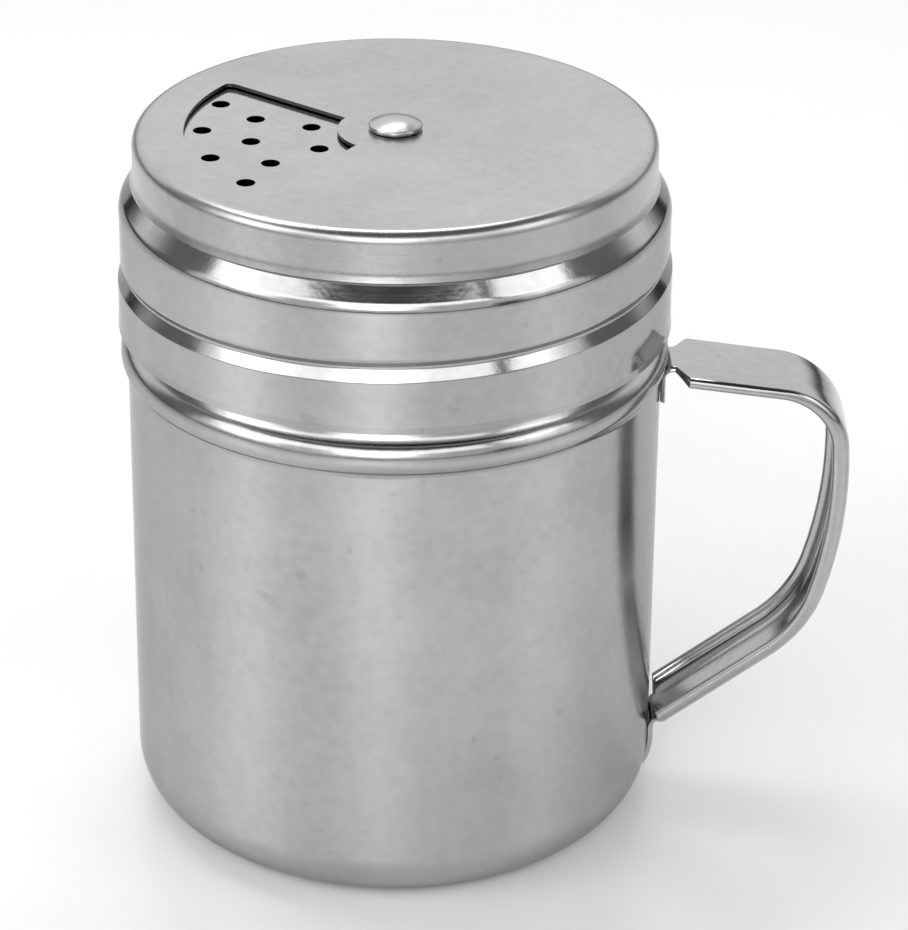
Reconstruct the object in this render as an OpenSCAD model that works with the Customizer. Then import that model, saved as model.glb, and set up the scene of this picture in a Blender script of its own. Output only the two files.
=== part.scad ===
// Handled shaker in stainless steel: drawn cup, screw-on lid with a sifting plate,
// and a turning cover whose window opens or closes the holes.
// Millimetres, Z up, origin at the centre of the base; the handle points along +X.

/* [Cup] */
// Outer radius of the straight wall
cup_r = 34.7; // [30:0.1:40]
// Thickness of the drawn sheet
cup_wall = 0.5; // [0.4:0.05:0.9]
// Outer radius of the corner between base and wall
base_corner_r = 8; // [4:0.5:12]
// Height of the middle of the rolled shoulder
shoulder_z = 65.5; // [58:0.1:72]
// How far the rolled shoulder stands out from the wall
shoulder_swell = 0.8; // [0.3:0.1:1]
// Radius of the roll of the shoulder
shoulder_roll_r = 2.7; // [2:0.1:3.2]
// Radius of the hollow where the wall runs into the shoulder
shoulder_root_r = 2; // [1:0.5:3]
// Gap between the neck and the narrowest ring of the lid
neck_gap = 0.3; // [0.15:0.05:0.6]
// Radius of the rolled edge of the mouth
mouth_roll_r = 0.6; // [0.5:0.05:0.7]
// Gap between the rolled mouth and the lid that sits on it
mouth_gap = 0.15; // [0.05:0.05:0.3]

/* [Lid] */
// How far the screw collar stands out from the cup's wall
lid_proud = 0.7; // [0.5:0.1:1.5]
// Thickness of the lid's sheet
lid_wall = 0.5; // [0.4:0.05:0.7]
// Height of the collar's lower edge over the middle of the cup's shoulder
lid_rest_h = 3.4; // [3:0.1:5]
// Height of the band under the rolled groove
lower_band_h = 7.3; // [5:0.1:8]
// How far that band stands out past the one over the groove
lower_band_proud = 0.25; // [0:0.05:0.5]
// How far the collar's lower edge flares out
lid_flare = 0.3; // [0.1:0.05:0.5]
// Height of that flare
lid_flare_h = 0.8; // [0.6:0.1:1.5]
// Height of the rolled groove's lower slope
groove_slope_h = 1.9; // [1.5:0.1:2.2]
// Height of the rolled groove's soft upper slope
groove_rise_h = 2.1; // [2:0.1:3]
// Depth of the rolled groove
groove_depth = 1.1; // [0.8:0.1:1.3]
// Height of the band over the rolled groove
upper_band_h = 6.1; // [5:0.1:8]
// Slope of the collar's sloping top, from upright
collar_slope = 40; // [35:1:45]
// Radius of the edge between collar and sloping top
collar_edge_r = 2.4; // [1:0.1:3]
// Radius of the corner between the upper wall and the sifting plate
plate_corner_r = 1.2; // [0.8:0.1:2]

/* [Sifting holes] */
// Diameter of the coarse holes
coarse_hole_d = 2.4; // [1.5:0.1:3]
// Diameter of the fine holes
fine_hole_d = 1.3; // [0.8:0.1:2]
// Direction of the coarse holes seen from above
coarse_angle = 190; // [180:1:200]
// Distance of the inner row of holes from the tongue round the rivet
inner_row_gap = 3.5; // [2.5:0.1:4]
// Distance of the middle row of holes from the outer one
middle_row_gap = 6.1; // [5:0.1:7]
// Distance of the outer row of holes from the window's outer arc
outer_row_gap = 2.3; // [2:0.1:3]

/* [Cover] */
// Distance of the cover's skirt inside the collar
cover_inset = 1.9; // [1.5:0.1:3]
// Thickness of the cover's sheet
cover_wall = 0.45; // [0.4:0.05:0.6]
// Height of the cover's flat top over the collar's upper edge
cover_rise = 9.1; // [8:0.1:11]
// Radius of the rim between top and skirt
cover_rim_r = 1.6; // [1.2:0.1:2.4]
// How far the skirt's lower edge flares out
cover_flare = 0.35; // [0.1:0.05:0.5]
// Height of the flare
cover_flare_h = 1; // [0.6:0.1:1.5]
// Gap between the cover and the lid, over the plate
cover_lift = 0.2; // [0.1:0.05:0.4]
// Gap between the cover's skirt and the lid's upper wall and slope
skirt_gap = 0.26; // [0.15:0.01:0.4]
// Width left between the window and the cover's skirt
window_margin = 6.6; // [5:0.1:8]
// Width left between the window and the rivet's head
hub_margin = 3.95; // [2.5:0.05:5]
// Half the angle between the window's straight sides
window_half_angle = 47.5; // [42:0.5:50]
// Distance of the window's straight sides from the radius they run along
window_side_offset = 1.1; // [0.5:0.1:1.5]
// Radius of the window's outer corners
window_corner_r = 1.6; // [0.5:0.1:2]

/* [Rivet] */
// Radius of the domed head
rivet_head_r = 3.45; // [2.5:0.05:4.5]
// Height of the domed head
rivet_head_h = 1.5; // [1:0.1:2]
// Height of the upright edge under the dome
rivet_edge_h = 0.35; // [0.2:0.05:0.6]
// Radius of the shank
rivet_shank_r = 1.6; // [1.2:0.1:2]
// Radial running clearance of the shank
rivet_clearance = 0.06; // [0.03:0.01:0.1]
// Clearance under the head and over the washer
rivet_end_clearance = 0.08; // [0.05:0.01:0.1]
// How far the closed tail spreads past the shank
rivet_tail_spread = 1; // [0.6:0.1:1.4]
// Height of the closed tail
rivet_tail_h = 0.9; // [0.6:0.1:1.2]
// How far the washer under the plate reaches past the tail
washer_margin = 1.9; // [1:0.1:2.5]
// Thickness of the washer
washer_h = 0.5; // [0.3:0.1:0.8]

/* [Handle] */
// Width of the channelled strap
strap_w = 12; // [10:0.5:14]
// Thickness of the strap's sheet
strap_wall = 0.6; // [0.5:0.1:0.8]
// Depth of the folded sides
strap_depth = 2; // [1.6:0.1:2.4]
// Radius of the strap's folded edges
strap_edge_r = 0.9; // [0.8:0.05:1.2]
// Depth of the upper arm's face under the middle of the cup's shoulder
arm_drop = 1.6; // [1.5:0.1:6]
// Slope of the upper arm, down towards the grip
arm_slope = 7; // [4:0.5:10]
// Length of the upper arm
arm_l = 12.6; // [10:0.1:16]
// Outer radius of the bend between upper arm and grip
upper_bend_r = 10; // [8:0.5:12]
// Turn of the upper bend
upper_bend_turn = 79; // [74:1:84]
// Outer radius of the bowed grip
grip_bow_r = 60; // [50:1:75]
// Turn of the bowed grip
grip_bow_turn = 20; // [16:1:22]
// Outer radius of the bend between grip and lower arm
lower_bend_r = 19; // [16:0.5:22]
// Turn of the lower bend
lower_bend_turn = 37; // [34:1:40]
// Width of the welded tabs
tab_w = 7; // [6:0.5:9]
// Length of the upper welded tab
upper_tab_l = 3.5; // [2:0.5:5]
// Length of the lower welded tab, which follows the corner of the base
lower_tab_l = 6; // [3:0.5:8]
// Inner radius of the bends at the tabs
tab_bend_r = 1; // [0.6:0.1:1.4]
// Length over which the strap narrows to its upper tab
upper_neck_l = 1.8; // [1:0.1:3]
// Length over which the strap narrows to its lower tab
lower_neck_l = 1.2; // [0.8:0.1:3]
// Gap at the welds
weld_gap = 0.06; // [0.05:0.01:0.1]

/* [Hidden] */
$fn = 96;
steel = [0.74, 0.74, 0.75];
// Angle covered by one step of a drawn arc
arc_step = 6;
// Spare height by which a cutting shape passes the sheet that it cuts
pass = 1;

// Directions on the roll of the cup's shoulder where it meets the wall and the neck
shoulder_low = -31;
shoulder_high = 60;
shoulder_c = [cup_r + shoulder_swell - shoulder_roll_r, shoulder_z];
lid_r = cup_r + lid_proud;
lower_band_r = lid_r + lower_band_proud;
neck_r = lid_r - groove_depth - lid_wall - neck_gap;
neck_root_r = 0.6;

// Heights of the lid's rings, from its lower edge up, and the cover's place on them
lid_edge_z = shoulder_z + lid_rest_h;
groove_z = lid_edge_z + lower_band_h;
groove_floor_z = groove_z + groove_slope_h;
groove_top_z = groove_floor_z + groove_rise_h;
collar_top_z = groove_top_z + upper_band_h;
cover_z = collar_top_z + cover_rise;
cover_r = lid_r - cover_inset;

// Top of the sifting plate, and the lid's upper wall inside the cover's skirt
plate_z = cover_z - cover_wall - cover_lift;
upper_r = cover_r - cover_wall - skirt_gap;
upper_root_r = 1;
lid_flare_r = 1.5;
groove_edge_r = 0.5;
groove_floor_r = 0.8;
groove_rise_r = 3.4;
slope_rise = 1 / tan(collar_slope);
cover_edge_z = slope_z(cover_r + cover_flare - cover_wall) + skirt_gap / sin(collar_slope);
cover_flare_r = 2;

// Middle of the mouth's rolled edge, set under the lid's slope
mouth_c = [neck_r - mouth_roll_r, mouth_z()];

hub_r = rivet_head_r + hub_margin;
window_r = cover_r - window_margin;
outer_row_r = window_r - outer_row_gap;
// Rows of holes from the inner to the outer: radius, number and angle between holes
row_r = [hub_r + inner_row_gap, outer_row_r - middle_row_gap, outer_row_r];
row_count = [2, 3, 4];
row_spread = [39, 23.6, 21.6];
// Turn from the coarse holes to the fine ones, with a closed sector on each side
fine_turn = 180;

plate_low_z = plate_z - lid_wall;
washer_z = plate_low_z - rivet_end_clearance - washer_h;
rivet_tail_r = rivet_shank_r + rivet_tail_spread;
washer_r = rivet_tail_r + washer_margin;
head_z = cover_z + rivet_end_clearance;
dome_h = rivet_head_h - rivet_edge_h;
dome_r = (rivet_head_r ^ 2 + dome_h ^ 2) / (2 * dome_h);

// Steps of the arc of the strap's folded edges, the turned-up lip of its bare stretches,
// and how far the steps of its bends may stray from true arcs
strap_steps = 4;
strap_lip = 0.05;
strap_stray = 0.02;
// Shortest straight stretch of the lower tab
tab_least_l = 0.5;
// Path of the strap's outer face in the XZ plane, from the upper tab to the lower one
weld_r = cup_r + weld_gap;
tab_depth = strap_wall + 2 * strap_lip;
tab_outer_r = tab_bend_r + strap_wall;
arm_start = [weld_r + tab_outer_r * (1 + sin(arm_slope)), shoulder_z - arm_drop];
grip_heading = -arm_slope - upper_bend_turn;
bow_heading = grip_heading - grip_bow_turn;
lower_heading = bow_heading - lower_bend_turn;
arm_end = arm_start + (upper_neck_l + arm_l) * [cos(arm_slope), -sin(arm_slope)];
grip_start = after_bend(arm_end, upper_bend_r, -arm_slope, grip_heading);
grip_end = after_bend(grip_start, grip_bow_r, grip_heading, bow_heading);
lower_start = after_bend(grip_end, lower_bend_r, bow_heading, lower_heading);
lower_tab_reach = weld_r + tab_depth + tab_bend_r * (1 + sin(lower_heading));
lower_arm_l = (lower_start.x - lower_tab_reach) / -cos(lower_heading);

// Height of the lid's outer slope at radius r
function slope_z(r) = collar_top_z + (lid_r - r) * slope_rise;
// Height of the mouth's roll that leaves the gap to the inner face of the lid's slope
function mouth_z() =
    slope_z(neck_r - mouth_roll_r) - (lid_wall + mouth_gap + mouth_roll_r) / sin(collar_slope);

function heading(a, b) = [b.x - a.x, b.y - a.y] / norm([b.x - a.x, b.y - a.y]);
function left_of(u) = [-u.y, u.x];
function cross_of(u, v) = u.x * v.y - u.y * v.x;
function turned(p, a) = [p.x * cos(a) - p.y * sin(a), p.x * sin(a) + p.y * cos(a)];
// End of a clockwise bend of radius r from one heading to another
function after_bend(p, r, from, to) = p + r * [sin(from) - sin(to), cos(to) - cos(from)];
function polar(c, r, a) = [c.x + r * cos(a), c.y + r * sin(a)];
// Points of an arc round c, and a list without its ends
function arc_points(c, r, from, to) =
    let (steps = ceil(abs(to - from) / arc_step))
    [for (i = [0:steps]) polar(c, r, from + (to - from) * i / steps)];
function between_ends(list) = [for (i = [1:len(list) - 2]) list[i]];

// Corner [x, y, radius] whose arc is the part of a circle between two directions
function roll_corner(c, r, a0, a1) = concat(polar(c, r / cos((a1 - a0) / 2), (a0 + a1) / 2), r);
// Height at which the tangent of a circle in direction a passes radius x
function tangent_z(c, r, a, x) = c.y + (r - (x - c.x) * cos(a)) / sin(a);

// Points of the arc that rounds corner p between a and b
function arc_corner(a, p, b) =
    let (u = heading(a, p))
    let (v = heading(p, b))
    let (turn = acos(max(-1, min(1, u * v))))
    let (side = sign(cross_of(u, v)))
    let (start = [p.x, p.y] - u * p[2] * tan(turn / 2))
    let (arm = -side * p[2] * left_of(u))
    let (steps = max(2, ceil(turn / arc_step)))
    [for (i = [0:steps]) start - arm + turned(arm, side * turn * i / steps)];

// Open path of corners [x, y, radius] with its corners rounded
function rounded(path) =
    let (last = len(path) - 1)
    [for (i = [0:last]) each (i == 0 || i == last || path[i][2] == 0)
        ? [[path[i].x, path[i].y]]
        : arc_corner(path[i - 1], path[i], path[i + 1])];

// The same path moved to its left by s, with radii that keep the sheet even
function moved_left(path, s) =
    let (last = len(path) - 1)
    [for (i = [0:last])
        let (u = i == 0 ? heading(path[0], path[1]) : heading(path[i - 1], path[i]))
        let (v = i == last ? u : heading(path[i], path[i + 1]))
        let (p = [path[i].x, path[i].y] + (left_of(u) + left_of(v)) * s / (1 + u * v))
        [p.x, p.y, path[i][2] == 0 ? 0 : max(0, path[i][2] - sign(cross_of(u, v)) * s)]];

function backwards(list) = [for (i = [len(list) - 1:-1:0]) list[i]];

// Sheet of even thickness turned round the axis from the path of its outer face
module spun_sheet(path, thickness) {
    rotate_extrude()
        polygon(concat(rounded(path), backwards(rounded(moved_left(path, thickness)))));
}

module cup() {
    wall_path = [
        [0, 0, 0],
        [cup_r, 0, base_corner_r],
        [cup_r, tangent_z(shoulder_c, shoulder_roll_r, shoulder_low, cup_r), shoulder_root_r],
        roll_corner(shoulder_c, shoulder_roll_r, shoulder_low, shoulder_high),
        [neck_r, tangent_z(shoulder_c, shoulder_roll_r, shoulder_high, neck_r), neck_root_r],
        [neck_r, mouth_c.y, 0]
    ];
    color(steel) {
        spun_sheet(wall_path, cup_wall);
        rotate_extrude()
            translate(mouth_c)
                circle(mouth_roll_r);
    }
}

module hole_rows(diameter) {
    for (row = [0:len(row_r) - 1])
        for (i = [0:row_count[row] - 1])
            rotate((i - (row_count[row] - 1) / 2) * row_spread[row])
                translate([row_r[row], 0, plate_low_z - pass])
                    cylinder(d = diameter, h = lid_wall + 2 * pass);
}

module lid() {
    lid_path = [
        [lower_band_r + lid_flare, lid_edge_z, 0],
        [lower_band_r, lid_edge_z + lid_flare_h, lid_flare_r],
        [lower_band_r, groove_z, groove_edge_r],
        [lid_r - groove_depth, groove_floor_z, groove_floor_r],
        [lid_r, groove_top_z, groove_rise_r],
        [lid_r, collar_top_z, collar_edge_r],
        [upper_r, slope_z(upper_r), upper_root_r],
        [upper_r, plate_z, plate_corner_r],
        [0, plate_z, 0]
    ];
    color(steel)
        difference() {
            spun_sheet(lid_path, lid_wall);
            rotate(coarse_angle)
                hole_rows(coarse_hole_d);
            rotate(coarse_angle + fine_turn)
                hole_rows(fine_hole_d);
            translate([0, 0, plate_low_z - pass])
                cylinder(r = rivet_shank_r + rivet_clearance, h = lid_wall + 2 * pass);
        }
}

// Fan-shaped window between the hub and the outer arc, centred on +X
module window_outline() {
    corner_r = window_r - window_corner_r;
    corner_angle = window_half_angle - asin((window_side_offset + window_corner_r) / corner_r);
    hub_angle = window_half_angle - asin(window_side_offset / hub_r);
    side_angle = window_half_angle + 90;
    polygon(concat(
        between_ends(arc_points([0, 0], window_r, -corner_angle, corner_angle)),
        arc_points(polar([0, 0], corner_r, corner_angle), window_corner_r, corner_angle, side_angle),
        arc_points([0, 0], hub_r, hub_angle, -hub_angle),
        arc_points(polar([0, 0], corner_r, -corner_angle), window_corner_r, -side_angle, -corner_angle)
    ));
}

module cover() {
    cover_path = [
        [cover_r + cover_flare, cover_edge_z, 0],
        [cover_r, cover_edge_z + cover_flare_h, cover_flare_r],
        [cover_r, cover_z, cover_rim_r],
        [0, cover_z, 0]
    ];
    color(steel)
        difference() {
            spun_sheet(cover_path, cover_wall);
            rotate(coarse_angle)
                translate([0, 0, cover_z - cover_wall - pass])
                    linear_extrude(cover_wall + 2 * pass)
                        window_outline();
            translate([0, 0, cover_z - cover_wall - pass])
                cylinder(r = rivet_shank_r + rivet_clearance, h = cover_wall + 2 * pass);
        }
}

module rivet() {
    color(steel) {
        translate([0, 0, head_z])
            cylinder(r = rivet_head_r, h = rivet_edge_h);
        intersection() {
            translate([0, 0, head_z + rivet_head_h - dome_r])
                sphere(dome_r);
            translate([0, 0, head_z + rivet_edge_h])
                cylinder(r = rivet_head_r, h = rivet_head_h);
        }
        translate([0, 0, washer_z])
            cylinder(r = rivet_shank_r, h = head_z - washer_z);
        translate([0, 0, washer_z - rivet_tail_h])
            cylinder(r1 = rivet_shank_r, r2 = rivet_tail_r, h = rivet_tail_h);
    }
}

module rivet_washer() {
    color(steel)
        translate([0, 0, washer_z])
            difference() {
                cylinder(r = washer_r, h = washer_h);
                translate([0, 0, -pass])
                    cylinder(r = rivet_shank_r, h = washer_h + 2 * pass);
            }
}

// One closed ring of strap: station is [x, z, heading, width, depth, hug], where hug is the
// share by which the strap follows the round of the cup's wall
function strap_ring(station) =
    let (w = station[3] / 2)
    let (depth = station[4])
    let (edge = min(strap_edge_r, depth - strap_lip))
    let (fold = max(strap_lip, edge - strap_wall))
    let (outer = quarter([-edge, w - edge], edge, 90, 0))
    let (inner = quarter([-strap_wall - fold, w - strap_wall - fold], fold, 0, 90))
    let (flat = (w - edge) / 2)
    let (half = concat([[-depth, w]], outer, [[0, flat]]))
    let (inner_half = concat([[-strap_wall, flat]], inner, [[-depth, w - strap_wall]]))
    let (middle = [0, 0])
    let (inner_middle = [-strap_wall, 0])
    [for (q = concat(half, [middle], mirrored(half), mirrored(inner_half), [inner_middle], inner_half))
        let (wrap = station[5] * (sqrt(weld_r ^ 2 - q.y ^ 2) - weld_r))
        [station[0] - q.x * sin(station[2]) + wrap, q.y, station[1] + q.x * cos(station[2])]];

// Points of a quarter round, from one direction to another
function quarter(c, r, from, to) =
    [for (i = [0:strap_steps]) polar(c, r, from + (to - from) * i / strap_steps)];

// Half a section seen from the other side, in the order that goes on round the ring
function mirrored(half) = [for (q = backwards(half)) [q.x, -q.y]];

// Stations along a bend, after its start
function bend_stations(p, r, from, to, w, depth, hug_from = 0, hug_to = 0) =
    let (steps = ceil(abs(to - from) / (2 * acos(1 - strap_stray / abs(r)))))
    [for (i = [1:1:steps])
        let (a = from + (to - from) * i / steps)
        let (q = after_bend(p, r, from, a))
        [q.x, q.y, a, w, depth, hug_from + (hug_to - hug_from) * i / steps]];

// Solid through closed rings of equal counts; each end is closed across the thickness of the sheet
module swept(rings) {
    n = len(rings[0]);
    last = len(rings) - 1;
    sides = [for (k = [0:last - 1]) for (i = [0:n - 1])
        let (j = (i + 1) % n)
        each [[k * n + i, k * n + j, (k + 1) * n + i], [k * n + j, (k + 1) * n + j, (k + 1) * n + i]]];
    strips = [for (k = [0:n / 2 - 2]) each [[k, k + 1, n - 2 - k], [k, n - 2 - k, n - 1 - k]]];
    start_cap = [for (strip = strips) backwards(strip)];
    end_cap = [for (strip = strips) [for (i = strip) last * n + i]];
    polyhedron([for (ring = rings) each ring], concat(sides, start_cap, end_cap));
}

module handle() {
    arm_dir = [cos(arm_slope), -sin(arm_slope)];
    lower_dir = [cos(lower_heading), sin(lower_heading)];
    upper_tab = after_bend(arm_start, tab_outer_r, -arm_slope, 90);
    upper_fold = arm_start + upper_neck_l * arm_dir;
    lower_neck = lower_start + lower_arm_l * lower_dir;
    lower_fold = lower_neck - lower_neck_l * lower_dir;
    lower_tab = after_bend(lower_neck, -tab_bend_r, lower_heading, -90);
    straight_l = max(tab_least_l, min(lower_tab_l, lower_tab.y - base_corner_r));
    wrap_start = [lower_tab.x, lower_tab.y - straight_l];
    wrap_r = base_corner_r + weld_gap + tab_depth;
    wrap_turn = (lower_tab_l - straight_l) / wrap_r * 180 / PI;
    stations = concat(
        [[upper_tab.x, upper_tab.y - upper_tab_l, 90, tab_w, tab_depth, 1]],
        [[upper_tab.x, upper_tab.y, 90, tab_w, tab_depth, 1]],
        bend_stations(upper_tab, tab_outer_r, 90, -arm_slope, tab_w, tab_depth, 1, 0),
        [[upper_fold.x, upper_fold.y, -arm_slope, strap_w, strap_depth, 0]],
        [[arm_end.x, arm_end.y, -arm_slope, strap_w, strap_depth, 0]],
        bend_stations(arm_end, upper_bend_r, -arm_slope, grip_heading, strap_w, strap_depth),
        bend_stations(grip_start, grip_bow_r, grip_heading, bow_heading, strap_w, strap_depth),
        bend_stations(grip_end, lower_bend_r, bow_heading, lower_heading, strap_w, strap_depth),
        [[lower_fold.x, lower_fold.y, lower_heading, strap_w, strap_depth, 0]],
        [[lower_neck.x, lower_neck.y, lower_heading, tab_w, tab_depth, 0]],
        bend_stations(lower_neck, -tab_bend_r, lower_heading, -90, tab_w, tab_depth, 0, 1),
        [[wrap_start.x, wrap_start.y, -90, tab_w, tab_depth, 1]],
        bend_stations(wrap_start, wrap_r, -90, -90 - wrap_turn, tab_w, tab_depth, 1, 1)
    );
    color(steel)
        swept([for (station = stations) strap_ring(station)]);
}

cup();
handle();
lid();
cover();
rivet();
rivet_washer();
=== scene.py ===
import math

import bmesh
import bpy
from mathutils import Matrix, Vector


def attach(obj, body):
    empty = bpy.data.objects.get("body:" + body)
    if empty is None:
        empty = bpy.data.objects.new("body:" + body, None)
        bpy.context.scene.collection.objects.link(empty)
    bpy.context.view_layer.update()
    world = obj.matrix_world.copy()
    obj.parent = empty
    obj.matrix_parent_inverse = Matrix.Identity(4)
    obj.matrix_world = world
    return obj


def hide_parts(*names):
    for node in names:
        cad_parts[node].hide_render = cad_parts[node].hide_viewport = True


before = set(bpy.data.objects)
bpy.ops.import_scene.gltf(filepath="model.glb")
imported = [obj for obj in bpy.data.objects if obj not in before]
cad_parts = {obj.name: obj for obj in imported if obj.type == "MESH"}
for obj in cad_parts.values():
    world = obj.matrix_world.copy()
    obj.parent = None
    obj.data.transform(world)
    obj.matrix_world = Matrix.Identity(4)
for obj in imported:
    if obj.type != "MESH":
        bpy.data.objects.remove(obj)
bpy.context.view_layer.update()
mm = 0.001

# Cup
# One drawn piece of stainless sheet: flat base, large round corner, straight wall, a rolled shoulder
# and a hollow roll that show under the lid, and a neck with a shallow thread and a curled mouth.
cup_r = 34.7
cup_wall = 0.5
base_corner_r = 8
shoulder = Vector((32.9, 65.6))
shoulder_roll = 2.7
shoulder_low = -38
shoulder_high = 51
neck_r = 33.5
neck_foot_r = 33.7
neck_foot_z = 76
mouth_z = 87.33
mouth_curl = 0.6
thread_lead = 4.0
thread_foot_z = 81.2
thread_half = 1.1
thread_rise = 0.22
ring_steps = 224
steel_tone = (0.45, 0.45, 0.45)
grazing_dip = 0.66


def section_wire(bm, corners):
    """Wire in the XZ plane through corners (radius, height, rounding) in millimetres."""
    places = [Vector((r, 0, z)) * mm for r, z, _ in corners]
    verts = [bm.verts.new(place) for place in places]
    for pair in zip(verts, verts[1:]):
        bm.edges.new(pair)
    for i in range(1, len(corners) - 1):
        turn = (places[i] - places[i - 1]).angle(places[i + 1] - places[i])
        if corners[i][2] and turn > 1e-4:
            bmesh.ops.bevel(bm, geom=[verts[i]], offset=corners[i][2] * mm * math.tan(turn / 2),
                            offset_type="OFFSET", affect="VERTICES", profile=0.5, material=-1,
                            segments=max(4, math.ceil(math.degrees(turn) / 4)))


def spin_round(bm, geom):
    """Full turn of a wire about the axis, closed at its seam and at the axis."""
    bmesh.ops.spin(bm, geom=geom, cent=(0, 0, 0), axis=(0, 0, 1), angle=math.tau, steps=ring_steps,
                   use_merge=True)
    bmesh.ops.remove_doubles(bm, verts=bm.verts[:], dist=1e-7)


def tangent_height(centre, radius, direction, at_radius):
    """Height at which a roll's tangent, in a direction in degrees, passes a radius."""
    a = math.radians(direction)
    return centre.y + (radius - (at_radius - centre.x) * math.cos(a)) / math.sin(a)


def roll_corner(centre, radius, low, high):
    """Corner whose rounding is the part of a roll between two directions in degrees."""
    middle = math.radians((low + high) / 2)
    reach = radius / math.cos(math.radians((high - low) / 2))
    return centre.x + reach * math.cos(middle), centre.y + reach * math.sin(middle), radius


def soft_step(value, low, high):
    """Smooth step from 0 to 1 between two values."""
    t = min(1.0, max(0.0, (value - low) / (high - low)))
    return t * t * (3 - 2 * t)


def finished(name, bm, body, node, material):
    """Object from a bmesh, smooth but for its cut edges, that stands for a CAD node on its body."""
    mesh = bpy.data.meshes.new(name)
    bm.to_mesh(mesh)
    bm.free()
    mesh.polygons.foreach_set("use_smooth", [True] * len(mesh.polygons))
    mesh.set_sharp_from_angle(angle=math.radians(38))
    mesh.materials.append(material)
    piece = bpy.data.objects.new(name, mesh)
    bpy.context.collection.objects.link(piece)
    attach(piece, body)
    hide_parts(node)
    return piece


class Flow:
    """One output socket of a node tree; arithmetic on it adds Math nodes."""

    def __init__(self, tree, socket=None):
        self.tree = tree
        self.socket = socket

    def node(self, kind, settings, inputs, out=0):
        made = self.tree.nodes.new(kind)
        for key, value in settings.items():
            setattr(made, key, value)
        for key, value in inputs.items():
            if isinstance(value, Flow):
                self.tree.links.new(value.socket, made.inputs[key])
            else:
                made.inputs[key].default_value = value
        return Flow(self.tree, made.outputs[out] if len(made.outputs) else None)

    def math(self, operation, first, second=0.0):
        return self.node("ShaderNodeMath", {"operation": operation}, {0: first, 1: second})

    def __add__(self, other):
        return self.math("ADD", self, other)

    def __sub__(self, other):
        return self.math("SUBTRACT", self, other)

    def __rsub__(self, other):
        return self.math("SUBTRACT", other, self)

    def __mul__(self, other):
        return self.math("MULTIPLY", self, other)

    __radd__ = __add__
    __rmul__ = __mul__


def satin_steel(name, tone, roughness, lay, edge=1.0):
    """Stainless steel with a fine polishing lay: "ring" runs round the axis, "strap" along the handle.

    An edge below 1 deepens the dip that steel's reflection has at a grazing view.
    """
    material = bpy.data.materials.new(name)
    material.use_nodes = True
    tree = material.node_tree
    tree.nodes.clear()
    flow = Flow(tree)
    place = flow.node("ShaderNodeTexCoord", {}, {}, "Object")
    x, y, z = (flow.node("ShaderNodeSeparateXYZ", {}, {0: place}, axis) for axis in range(3))
    if lay == "ring":
        radius = flow.math("SQRT", x * x + y * y)
        lines = flow.node("ShaderNodeCombineXYZ", {}, {0: x * 40, 1: y * 40, 2: (z - radius) * 3600})
    else:
        lines = flow.node("ShaderNodeCombineXYZ", {}, {0: x * 40, 1: y * 3600, 2: z * 40})
    grain, cloud, smear, mottle, fleck = (
        flow.node("ShaderNodeTexNoise", {},
                  {"Vector": vector, "Scale": scale, "Detail": detail, "Roughness": coarseness}) - 0.5
        for vector, scale, detail, coarseness in (
            (lines, 1.0, 4.0, 0.7), (place, 70.0, 5.0, 0.6), (place, 24.0, 2.0, 0.5),
            (place, 650.0, 3.0, 0.5), (place, 300.0, 2.0, 0.5)))
    smudge = flow.node("ShaderNodeMapRange", {"interpolation_type": "SMOOTHSTEP"},
                       {"Value": fleck, "From Min": 0.16, "From Max": 0.3})
    shade = 1.0 + grain * 0.08 + mottle * 0.22 + cloud * 0.32 + smear * 0.24 - smudge * 0.12
    colour = flow.node("ShaderNodeMix", {"data_type": "RGBA", "blend_type": "MULTIPLY"},
                       {0: 1.0, 6: (*tone, 1.0),
                        7: flow.node("ShaderNodeCombineColor", {}, {0: shade, 1: shade, 2: shade})}, 2)
    rough = roughness + grain * 0.06 + cloud * 0.10 + smear * 0.08 + smudge * 0.08
    relief = grain * 0.006 + mottle * 0.03 + cloud
    bump = flow.node("ShaderNodeBump", {}, {"Strength": 1.0, "Distance": 0.00007, "Height": relief})
    steel = flow.node("ShaderNodeBsdfPrincipled", {},
                      {"Base Color": colour, "Metallic": 1.0, "Roughness": rough, "Normal": bump,
                       "Specular Tint": (edge, edge, edge, 1.0)})
    flow.node("ShaderNodeOutputMaterial", {}, {"Surface": steel})
    return material


cup_steel = satin_steel("cup_satin_steel", steel_tone, 0.18, "ring", grazing_dip)
bm = bmesh.new()
section_wire(bm, [
    (0, 0, 0),
    (cup_r, 0, base_corner_r),
    (cup_r, tangent_height(shoulder, shoulder_roll, shoulder_low, cup_r), 1.45),
    roll_corner(shoulder, shoulder_roll, shoulder_low, shoulder_high),
    (neck_foot_r, tangent_height(shoulder, shoulder_roll, shoulder_high, neck_foot_r), 2.3),
    (neck_r, neck_foot_z, 3),
    (neck_r, mouth_z, 0)])
neck_run = [e for e in bm.edges
            if min(v.co.z for v in e.verts) > (neck_foot_z - 0.5) * mm and e.calc_length() > 5 * mm]
bmesh.ops.subdivide_edges(bm, edges=neck_run, cuts=60)
spin_round(bm, bm.verts[:] + bm.edges[:])
bmesh.ops.recalc_face_normals(bm, faces=bm.faces[:])
for v in bm.verts:
    turn = (math.atan2(v.co.y, v.co.x) + math.radians(250)) % math.tau
    ridge = thread_foot_z + thread_lead * turn / math.tau
    ends = soft_step(turn, 0.1, 0.5) * (1 - soft_step(turn, 5.6, 6.1))
    lift = thread_rise * mm * soft_step(1 - abs(v.co.z / mm - ridge) / thread_half, 0, 1) * ends
    v.co.xy *= 1 + lift / max(v.co.xy.length, mm)
bmesh.ops.solidify(bm, geom=bm.faces[:], thickness=cup_wall * mm)
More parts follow.
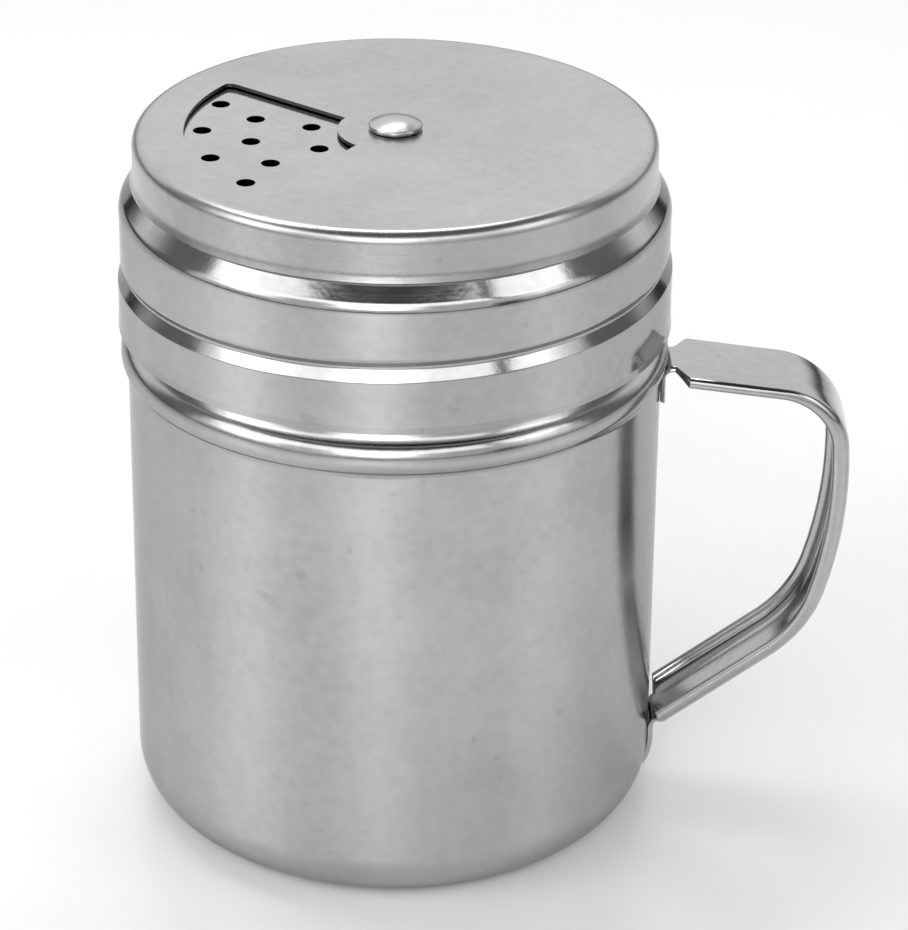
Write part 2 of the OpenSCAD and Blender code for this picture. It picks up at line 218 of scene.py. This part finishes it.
curl = bmesh.ops.create_circle(bm, segments=20, radius=mouth_curl * mm,
                               matrix=Matrix.Translation(((neck_r - mouth_curl) * mm, 0, mouth_z * mm))
                               @ Matrix.Rotation(math.pi / 2, 4, "X"))["verts"]
curl_edges = list({e for v in curl for e in v.link_edges})
shell = set(bm.faces)
bmesh.ops.spin(bm, geom=curl + curl_edges, cent=(0, 0, 0), axis=(0, 0, 1), angle=math.tau,
               steps=ring_steps, use_merge=True)
bmesh.ops.recalc_face_normals(bm, faces=[f for f in bm.faces if f not in shell])
cup = finished("drawn_cup", bm, "cup", "cup", cup_steel)

# Handle
# One strap of stainless sheet folded to a shallow channel and bent to a grip; its sides stop short of
# the cup, and a narrow tab at each end is spot-welded to the wall.
arm_w = 13.2
arm_depth = 1.4
strap_w = 12.0
foot_w = 11.4
strap_wall = 0.6
strap_depth = 2.4
strap_edge = 0.65
strap_lip = 0.5
tab_w = 7.0
tab_depth = 0.7
upper_tab_l = 3.5
lower_tab_l = 6.0
weld_gap = 0.06
weld_r = cup_r + weld_gap
tab_bend = 1.0
shoulder_l = 1.8
arm_l = 12.6
arm_slope = math.radians(7)
grip_bend_r = 10.0
grip_heading = math.radians(-86)
bow_r = 62.0
bow_heading = math.radians(-106)
lower_bend_r = 19.0
lower_heading = math.radians(-143)
foot_l = 1.2


def strap_section(width, depth):
    """Points (outward, across) round the channel's section; the outer face lies at outward 0."""
    half = width / 2
    edge = max(strap_edge, depth - strap_wall)
    swell = min(strap_lip, depth - edge)
    rise = depth - strap_wall - swell
    arc = [math.pi / 2 * i / 8 for i in range(9)]
    outer = [*((-edge + edge * math.cos(a), half - edge + edge * math.sin(a)) for a in reversed(arc)),
             (0.0, half * 0.4), (0.0, half * 0.2)]
    inner = [(-strap_wall, half * 0.2),
             *((-strap_wall - rise + rise * math.cos(a),
                half * 0.4 + (half * 0.6 - 2 * strap_lip) * math.sin(a)) for a in arc)]
    tip = [(swell - depth - swell * math.sin(a), half - strap_lip - strap_lip * math.cos(a))
           for a in [math.pi * i / 8 for i in range(9)]]
    side = outer + [(0.0, 0.0)] + [(o, -c) for o, c in reversed(outer)]
    back = [(o, -c) for o, c in reversed(inner)] + [(-strap_wall, 0.0)] + inner
    return side + [(o, -c) for o, c in reversed(tip)] + back + tip


def after_bend(place, radius, start, end):
    """End of a clockwise bend of the strap from one heading to another."""
    return place + radius * Vector((math.sin(start) - math.sin(end), math.cos(end) - math.cos(start)))


def bend(stations, radius, end, width, depth, hug=None):
    """Adds stations along a bend that starts at the last one and eases to a new width and depth."""
    place, start, width_0, depth_0, hug_start = stations[-1]
    hug = hug_start if hug is None else hug
    steps = max(6, math.ceil(math.degrees(abs(end - start)) / 2.5))
    for i in range(1, steps + 1):
        a = start + (end - start) * i / steps
        t = i / steps
        stations.append((after_bend(place, radius, start, a), a, width_0 + (width - width_0) * t,
                         depth_0 + (depth - depth_0) * t, hug_start + (hug - hug_start) * t))


def run(stations, length, width=None, depth=None, steps=1):
    """Adds a straight run of the strap, over which it may change its width and depth."""
    place, heading, width_0, depth_0, hug = stations[-1]
    width = width_0 if width is None else width
    depth = depth_0 if depth is None else depth
    for i in range(1, steps + 1):
        t = i / steps
        stations.append((place + length * t * Vector((math.cos(heading), math.sin(heading))), heading,
                         width_0 + (width - width_0) * t, depth_0 + (depth - depth_0) * t, hug))


handle_steel = satin_steel("handle_satin_steel", steel_tone, 0.16, "strap")
tab_outer = tab_bend + strap_wall
arm_start = Vector((weld_r + tab_outer * (1 + math.sin(arm_slope)), shoulder.y - 1.7))
upper_tab = after_bend(arm_start, tab_outer, -arm_slope, math.pi / 2)
stations = [(upper_tab - Vector((0, upper_tab_l)), math.pi / 2, tab_w, tab_depth, 1.0)]
run(stations, upper_tab_l, steps=4)
bend(stations, tab_outer, -arm_slope, tab_w, tab_depth, 0.0)
run(stations, shoulder_l, arm_w, arm_depth, steps=6)
run(stations, arm_l, steps=3)
bend(stations, grip_bend_r, grip_heading, strap_w, strap_depth)
bend(stations, bow_r, bow_heading, strap_w, strap_depth)
bend(stations, lower_bend_r, lower_heading, foot_w, strap_depth)
lower_reach = weld_r + tab_depth + tab_bend * (1 + math.sin(lower_heading))
lower_arm = (stations[-1][0].x - lower_reach) / -math.cos(lower_heading)
run(stations, lower_arm - foot_l, steps=3)
run(stations, foot_l, tab_w, tab_depth, steps=5)
bend(stations, -tab_bend, -math.pi / 2, tab_w, tab_depth, 1.0)
straight = stations[-1][0].y - base_corner_r
run(stations, straight, steps=3)
wrap_r = base_corner_r + weld_gap + tab_depth
bend(stations, wrap_r, -math.pi / 2 - (lower_tab_l - straight) / wrap_r, tab_w, tab_depth)


def strap_places(station):
    """Places in metres of the section's points at one station."""
    place, heading, width, depth, hug = station
    for out, across in strap_section(width, depth):
        wrap = hug * (math.sqrt(weld_r ** 2 - across ** 2) - weld_r)
        yield Vector((place.x - out * math.sin(heading) + wrap, across,
                      place.y + out * math.cos(heading))) * mm


bm = bmesh.new()
loop = [bm.verts.new(place) for place in strap_places(stations[0])]
edges = [bm.edges.new(pair) for pair in zip(loop, loop[1:] + loop[:1])]
bm.faces.new(loop)
for station in stations[1:]:
    grown = set(bmesh.ops.extrude_edge_only(bm, edges=edges)["geom"])
    loop = [next(e.other_vert(v) for e in v.link_edges if e.other_vert(v) in grown) for v in loop]
    for v, place in zip(loop, strap_places(station)):
        v.co = place
    edges = [bm.edges.get(pair) for pair in zip(loop, loop[1:] + loop[:1])]
bm.faces.new(loop)
bmesh.ops.recalc_face_normals(bm, faces=bm.faces[:])
handle = finished("strap_handle", bm, "cup", "handle", handle_steel)

# Lid
# One pressing: a screw collar with a rolled thread groove that climbs round it and fades at the back, a
# sloping top, and an upper wall closed by the sifting plate, with coarse holes and, opposite, fine ones.
lid_r = 35.4
lower_band_r = 35.75
lid_wall = 0.5
lid_edge_z = 69.85
band_foot_z = 70.7
groove_low_z = 76.7
groove_z = 78.3
groove_high_z = 79.4
groove_depth = 0.7
collar_z = 86.3
collar_slope = math.radians(40)
slope_rise = 1 / math.tan(collar_slope)
upper_r = 32.79
plate_z = 94.75
plate_ring = 30.9
rivet_hole = 1.66
coarse_angle = math.radians(190)
hole_rows = ((10.9, 2, 39.0), (18.5, 3, 23.6), (24.6, 4, 21.6))
groove_end = math.radians(75)
return_half = 0.7
level_share = 195 / 360


def fill_plate(bm, height, ring):
    """Fills the flat top inside a ring round the loops already drawn at that height."""
    rim = [e for e in bm.edges if e.is_boundary
           and all(abs(v.co.z - height * mm) < 1e-6 and v.co.xy.length < ring * mm + 1e-5 for v in e.verts)]
    loops = [e for e in bm.edges if e.is_wire]
    bmesh.ops.triangle_fill(bm, use_beauty=True, use_dissolve=False, edges=rim + loops, normal=(0, 0, 1))


lid_steel = satin_steel("lid_satin_steel", steel_tone, 0.11, "ring", grazing_dip)
bm = bmesh.new()
section_wire(bm, [
    (lower_band_r + 0.1, lid_edge_z, 0),
    (lower_band_r, band_foot_z, 2),
    (lower_band_r, groove_low_z, 0.4),
    (lid_r - groove_depth, groove_z, 0.5),
    (lid_r, groove_high_z, 1.2),
    (lid_r, collar_z, 2.4),
    (upper_r, collar_z + (lid_r - upper_r) * slope_rise, 1.0),
    (upper_r, plate_z, 1.2),
    (plate_ring, plate_z, 0)])
spin_round(bm, bm.verts[:] + bm.edges[:])
for v in bm.verts:
    turn = (math.atan2(v.co.y, v.co.x) - groove_end) % math.tau
    opposite = (turn + math.pi) % math.tau
    height = v.co.z / mm
    share = soft_step(height, 70.5, 75.5) * (1 - soft_step(height, 81.0, 84.5))
    fall = soft_step(opposite, math.pi - return_half, math.pi + return_half)
    climb = thread_lead * (opposite / math.tau - fall + 0.5 - level_share)
    ends = soft_step(turn, 0.4, 0.9) * (1 - soft_step(turn, math.tau - 0.9, math.tau - 0.4))
    v.co.z += climb * share * mm
    radius = v.co.xy.length
    v.co.xy *= (ends * radius + (1 - ends) * max(radius, lid_r * mm * share)) / radius
for row_r, count, spread in hole_rows:
    for i in range(count):
        for hole_r, turn in ((1.2, 0.0), (0.65, math.pi)):
            a = coarse_angle + turn + math.radians((i - (count - 1) / 2) * spread)
            bmesh.ops.create_circle(bm, segments=32, radius=hole_r * mm, matrix=Matrix.Translation(
                Vector((row_r * math.cos(a), row_r * math.sin(a), plate_z)) * mm))
bmesh.ops.create_circle(bm, segments=32, radius=rivet_hole * mm,
                        matrix=Matrix.Translation((0, 0, plate_z * mm)))
fill_plate(bm, plate_z, plate_ring)
bmesh.ops.recalc_face_normals(bm, faces=bm.faces[:])
bmesh.ops.solidify(bm, geom=bm.faces[:], thickness=lid_wall * mm)
bm.normal_update()
for f in bm.faces:
    if f.normal.z > 0.99 and f.calc_center_median().z > (plate_z - lid_wall / 2) * mm:
        f.material_index = 1
lid = finished("screw_lid", bm, "lid", "lid", lid_steel)
lid.data.materials.append(satin_steel("sifting_plate_steel", steel_tone, 0.12, "ring"))

# Cover
# A pressed disc with a rounded rim and a short skirt that flares at its edge; the fan-shaped window is
# cut out of it, and it turns on the rivet to open or close the holes.
cover_r = 33.5
cover_wall = 0.45
cover_z = 95.4
cover_flare = 0.35
window_r = 26.9
hub_r = 7.4
window_half = math.radians(47.5)
window_offset = 1.1
skirt_gap = 0.26
cover_edge_z = (collar_z + (lid_r - cover_r - cover_flare + cover_wall) * slope_rise
                + skirt_gap / math.sin(collar_slope))
cover_ring = 31.4

cover_steel = satin_steel("cover_satin_steel", steel_tone, 0.28, "ring")
bm = bmesh.new()
section_wire(bm, [
    (cover_r + cover_flare, cover_edge_z, 0),
    (cover_r, cover_edge_z + 1.0, 2),
    (cover_r, cover_z, 1.6),
    (cover_ring, cover_z, 0)])
spin_round(bm, bm.verts[:] + bm.edges[:])
outer_half = window_half - math.asin(window_offset / window_r)
hub_half = window_half - math.asin(window_offset / hub_r)
ends = []
for radius, half in ((window_r, outer_half), (hub_r, hub_half)):
    a = coarse_angle - half
    first = bm.verts.new(Vector((radius * math.cos(a), radius * math.sin(a), cover_z)) * mm)
    spun = bmesh.ops.spin(bm, geom=[first], cent=(0, 0, 0), axis=(0, 0, 1), angle=2 * half, steps=48)
    ends.append((first, spun["geom_last"][0]))
for side in (0, 1):
    bm.edges.new((ends[0][side], ends[1][side]))
for corner in ends[0]:
    bmesh.ops.bevel(bm, geom=[corner], offset=1.5 * mm, offset_type="OFFSET", affect="VERTICES", segments=8,
                    profile=0.5, material=-1)
bmesh.ops.create_circle(bm, segments=32, radius=rivet_hole * mm,
                        matrix=Matrix.Translation((0, 0, cover_z * mm)))
fill_plate(bm, cover_z, cover_ring)
bmesh.ops.recalc_face_normals(bm, faces=bm.faces[:])
bmesh.ops.solidify(bm, geom=bm.faces[:], thickness=cover_wall * mm)
bm.normal_update()
# Painted shade: the cut faces round the window and the rivet hole take a near-black steel that stands in
# for the shaded gap under the cover.
for f in bm.faces:
    if abs(f.normal.z) < 0.3 and f.calc_center_median().xy.length < cover_ring * mm:
        f.material_index = 1
cover = finished("turning_cover", bm, "cover", "cover", cover_steel)
# Near-black tone on the cut faces is painted shade, not the colour of the steel.
cover.data.materials.append(satin_steel("cut_edge_painted_shade_steel", (0.08, 0.08, 0.08), 0.45, "ring"))

# Rivet
# The cover turns on a stainless rivet with a low domed head; its tail is closed over a washer under
# the plate.
head_r = 3.45
head_h = 1.5
shank_r = 1.6
tail_r = 2.6
tail_h = 0.9
end_gap = 0.08
washer_h = 0.5
head_z = cover_z + end_gap
washer_z = plate_z - lid_wall - end_gap - washer_h

rivet_steel = satin_steel("rivet_steel", steel_tone, 0.3, "ring")
bm = bmesh.new()
section_wire(bm, [
    (0, washer_z - tail_h, 0),
    (shank_r, washer_z - tail_h, 0.2),
    (tail_r, washer_z, 0),
    (shank_r, washer_z, 0),
    (shank_r, head_z, 0),
    (3.2, head_z, 0),
    (head_r, head_z + 0.3, 0.1),
    (3.4, head_z + 0.65, 0.3),
    (1.6, head_z + head_h, 5.0),
    (0, head_z + head_h, 0)])
spin_round(bm, bm.verts[:] + bm.edges[:])
bmesh.ops.recalc_face_normals(bm, faces=bm.faces[:])
rivet = finished("domed_rivet", bm, "rivet", "rivet", rivet_steel)

# Washer
# A plain stamped ring of the same steel under the plate; the rivet's tail is closed over it, so that
# the thin plate isn't pulled through.
washer_r = 4.5
washer_bore = 1.62

bm = bmesh.new()
section_wire(bm, [
    (washer_bore, washer_z, 0),
    (washer_r, washer_z, 0.12),
    (washer_r, washer_z + washer_h, 0.12),
    (washer_bore, washer_z + washer_h, 0),
    (washer_bore, washer_z, 0)])
spin_round(bm, bm.verts[:] + bm.edges[:])
bmesh.ops.recalc_face_normals(bm, faces=bm.faces[:])
washer = finished("tail_washer", bm, "rivet", "rivet_washer", rivet_steel)

# Floor
# A plain white table with a slight sheen under the shaker, wide enough that the metal shows nothing
# else below the horizon.
floor_paint = bpy.data.materials.new("matt_white_table")
floor_paint.use_nodes = True
floor_paint.node_tree.nodes.clear()
flow = Flow(floor_paint.node_tree)
paper = flow.node("ShaderNodeTexNoise", {}, {"Vector": flow.node("ShaderNodeTexCoord", {}, {}, "Object"),
                                             "Scale": 40.0, "Detail": 3.0})
shade = 0.95 + (paper - 0.5) * 0.02
white = flow.node("ShaderNodeCombineColor", {}, {0: shade, 1: shade, 2: shade})
matt = flow.node("ShaderNodeBsdfPrincipled", {}, {"Base Color": white, "Roughness": 0.24})
flow.node("ShaderNodeOutputMaterial", {}, {"Surface": matt})
bm = bmesh.new()
bmesh.ops.create_grid(bm, x_segments=1, y_segments=1, size=3.0)
floor_mesh = bpy.data.meshes.new("table")
bm.to_mesh(floor_mesh)
bm.free()
floor_mesh.materials.append(floor_paint)
floor = bpy.data.objects.new("table", floor_mesh)
bpy.context.collection.objects.link(floor)

# Light
# A room with a band of windows round the front, brighter in three places and parted by a mullion, a
# pale wall at the back, dim sides and a dark ceiling; a long soft lamp hangs over the table, behind
# the shaker and to its left.
world = bpy.data.worlds.new("soft_studio")
bpy.context.scene.world = world
world.use_nodes = True
world.node_tree.nodes.clear()
flow = Flow(world.node_tree)
toward = flow.node("ShaderNodeTexCoord", {}, {}, "Generated")
east, north, up = (flow.node("ShaderNodeSeparateXYZ", {}, {0: toward}, axis) for axis in range(3))
side = flow.math("ARCTAN2", east, 0 - north)
rise = flow.math("ARCSINE", up)


def between(value, low, high, soft):
    """Mask of 1 where an angle in degrees lies between two limits, with soft edges."""
    edge = {"interpolation_type": "SMOOTHSTEP"}
    start = flow.node("ShaderNodeMapRange", edge, {"Value": value, "From Min": math.radians(low - soft),
                                                   "From Max": math.radians(low + soft)})
    stop = flow.node("ShaderNodeMapRange", edge, {"Value": value, "From Min": math.radians(high - soft),
                                                  "From Max": math.radians(high + soft)})
    return start * (1 - stop)


band = between(side, -88, 85, 3) * between(rise, 3, 49, 2)
panes = between(rise, 31, 90, 4)
left_glow = between(side, -74, -54, 14)
front_glow = between(side, -18, 4, 14)
right_glow = between(side, 58, 74, 12)
glows = between(rise, 15, 38, 6) * (left_glow * 3.6 + front_glow * 4.8 + right_glow * 1.4)
low_gap = between(side, 40, 52, 4) * between(rise, -90, 13, 4)
mullion = between(side, 44, 50.5, 2.5) * between(rise, 30, 90, 3)
windows = band * (0.7 + panes * 1.3 + glows) * (1 - flow.math("MAXIMUM", low_gap, mullion) * 0.9)
back = flow.math("MAXIMUM", between(side, 118, 400, 10), between(side, -400, -118, 10))
back_wall = back * between(rise, 8, 50, 6)
sides = flow.math("MAXIMUM", between(side, 82, 124, 6), between(side, -124, -84, 6))
side_walls = sides * between(rise, 0, 60, 8)
light = 0.05 + windows + back_wall + side_walls * 0.14
glow = flow.node("ShaderNodeBackground", {}, {"Color": (1, 1, 1, 1), "Strength": light})
flow.node("ShaderNodeOutputWorld", {}, {"Surface": glow})

lamp_place = Vector((-0.07, 0.13, 0.42))
lamp_aim = Vector((0, 0, 0.05)) - lamp_place
lamp_data = bpy.data.lights.new("table_lamp", "AREA")
lamp_data.shape = "RECTANGLE"
lamp_data.size = 0.36
lamp_data.size_y = 0.12
lamp_data.energy = 0.7
lamp = bpy.data.objects.new("table_lamp", lamp_data)
lamp.matrix_world = (Matrix.Translation(lamp_place)
                     @ lamp_aim.to_track_quat("-Z", "Y").to_matrix().to_4x4())
bpy.context.collection.objects.link(lamp)

# Camera
# Where the photograph was taken from: a long lens, half a metre off, looking down at the shaker.
camera_data = bpy.data.cameras.new("camera")
focal_px = 3925.8
photo_h = 930
camera_data.sensor_width = 36.0
camera_data.lens = focal_px / photo_h * camera_data.sensor_width
camera_data.clip_start = 0.01
camera_data.clip_end = 20.0
camera = bpy.data.objects.new("camera", camera_data)
bpy.context.collection.objects.link(camera)
camera.matrix_world = (Matrix.Translation(Vector((8.09, -463.53, 283.0)) * mm)
                       @ Matrix.Rotation(math.radians(0.028), 4, "Z")
                       @ Matrix.Rotation(math.radians(90 - 26.92), 4, "X")
                       @ Matrix.Rotation(math.radians(0.61), 4, "Z"))
bpy.context.scene.camera = camera
bpy.context.scene.view_settings.view_transform = "Standard"
